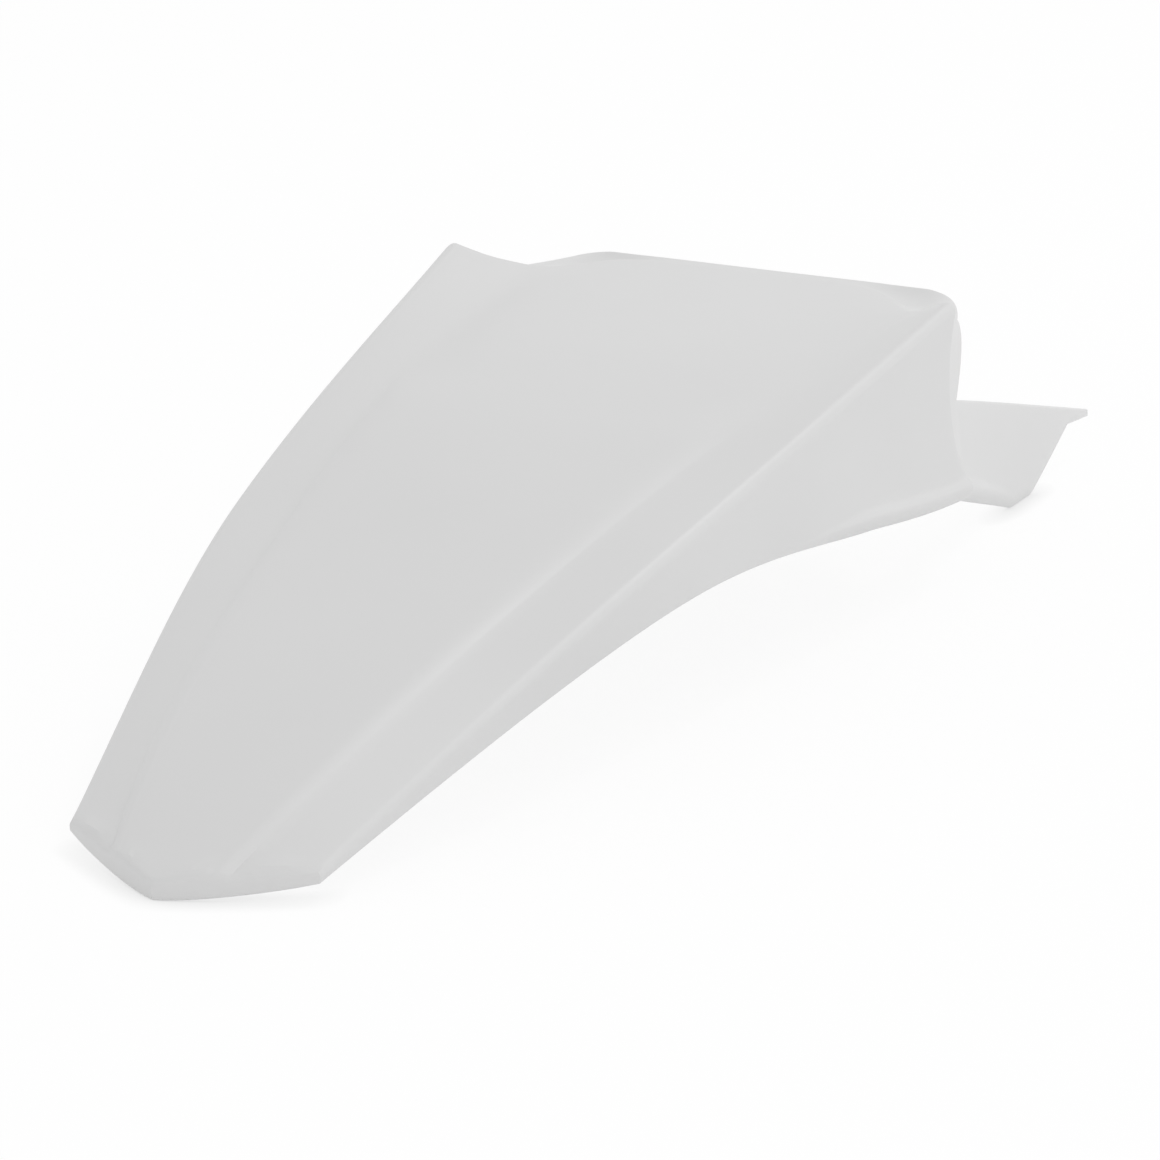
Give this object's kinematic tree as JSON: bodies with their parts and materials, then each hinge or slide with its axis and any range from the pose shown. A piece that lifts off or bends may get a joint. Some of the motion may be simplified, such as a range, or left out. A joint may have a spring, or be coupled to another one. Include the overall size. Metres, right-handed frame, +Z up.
{
  "type": "motorcycle rear fender",
  "caption": "Rear fender of an off-road motorcycle: crowned tail, raised side creases, lipped skirts, stepped front flange and two forward side tabs, with insert bosses below.",
  "frame": {"origin": "bottom centre of the bounding box, on the table that the tail's apex and the feet of the two tabs stand on", "axes": "+X forward, from the tail to the side tabs; +Y to the rider's left; +Z up"},
  "size_m": [0.66, 0.2414, 0.1307],
  "materials": {
    "plastic": "satin"
  },
  "bodies": {
    "root": {"rear_fender": "plastic"}
  },
  "joints": []
}
